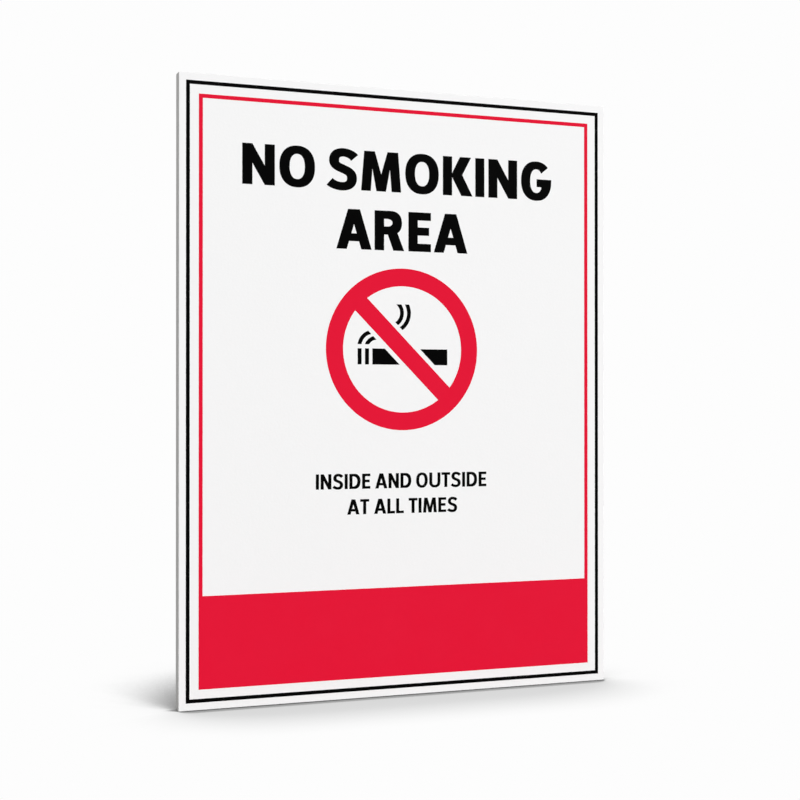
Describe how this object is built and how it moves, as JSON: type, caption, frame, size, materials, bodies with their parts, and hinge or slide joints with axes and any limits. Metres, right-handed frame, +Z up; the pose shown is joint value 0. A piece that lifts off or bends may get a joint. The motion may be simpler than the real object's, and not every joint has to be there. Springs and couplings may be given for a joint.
{
  "type": "no smoking sign",
  "caption": "Upright rectangular no smoking sign: a rigid white board with a black border line, a red frame and foot band, and a red prohibition ring with a crossed-out cigarette.",
  "frame": {"origin": "middle of the back face, which lies against the wall", "axes": "+Z up the sign, -Y out of the printed face towards the reader, +Y into the wall, +X to the reader's right"},
  "size_m": [0.225, 0.0064, 0.3],
  "materials": {
    "white_board": "smooth foamed PVC sheet with a satin face",
    "black_ink": "screen printed ink, satin",
    "red_ink": "screen printed ink, satin"
  },
  "bodies": {
    "root": {"sign_board": "white_board", "black_border_line": "black_ink", "red_frame_and_band": "red_ink", "prohibition_ring_and_bar": "red_ink", "ash_strip_1": "black_ink", "ash_strip_2": "black_ink", "cigarette_body": "black_ink", "cigarette_filter_end": "black_ink", "low_smoke_curl_1": "black_ink", "low_smoke_curl_2": "black_ink", "high_smoke_curl_1": "black_ink", "high_smoke_curl_2": "black_ink"}
  },
  "joints": []
}
